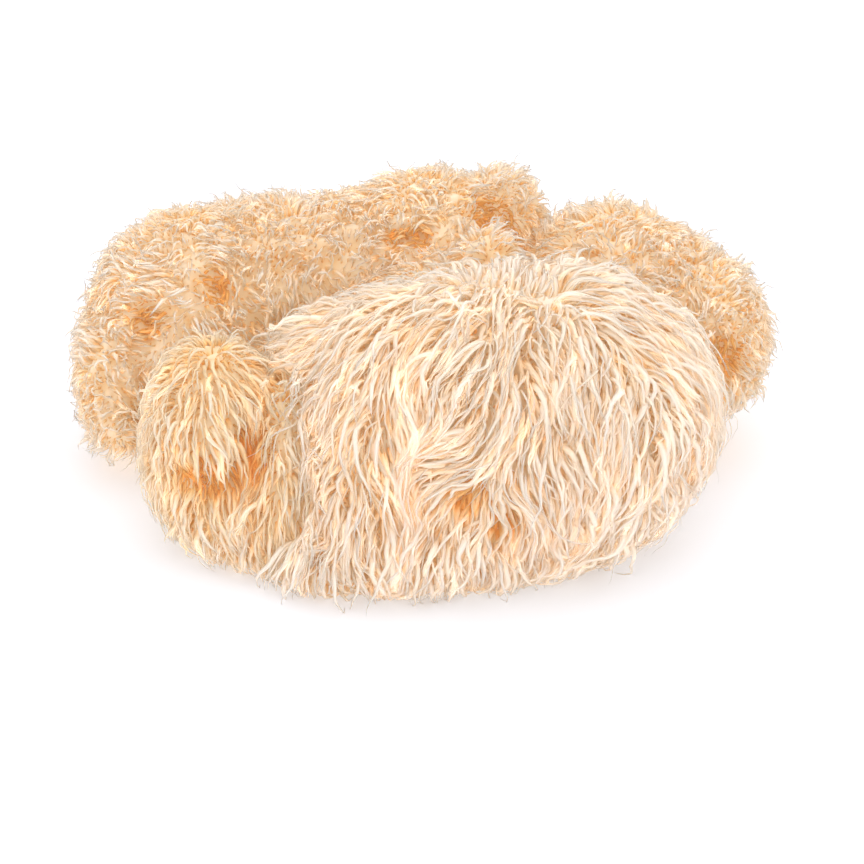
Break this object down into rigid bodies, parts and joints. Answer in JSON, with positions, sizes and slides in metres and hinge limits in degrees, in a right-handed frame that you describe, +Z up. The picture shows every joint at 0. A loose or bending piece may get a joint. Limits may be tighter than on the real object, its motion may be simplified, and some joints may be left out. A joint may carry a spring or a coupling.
{
  "type": "lions mane mushroom",
  "caption": "Fresh cluster of lion's mane mushroom: rounded heads grown together, covered in hanging teeth, long on the front head and short on those behind, cut flat underneath.",
  "frame": {"origin": "centre of the outline seen from above, on the flat cut that the cluster rests on", "axes": "+X along the cluster's long side, -Y towards the long-toothed front head, +Z up from the cut"},
  "size_m": [0.2186, 0.1834, 0.0802],
  "materials": {
    "mushroom_flesh": "fresh cream-white to pale apricot flesh and teeth, soft, moist and slightly see-through"
  },
  "bodies": {
    "root": {"fruiting_body": "mushroom_flesh"}
  },
  "joints": []
}
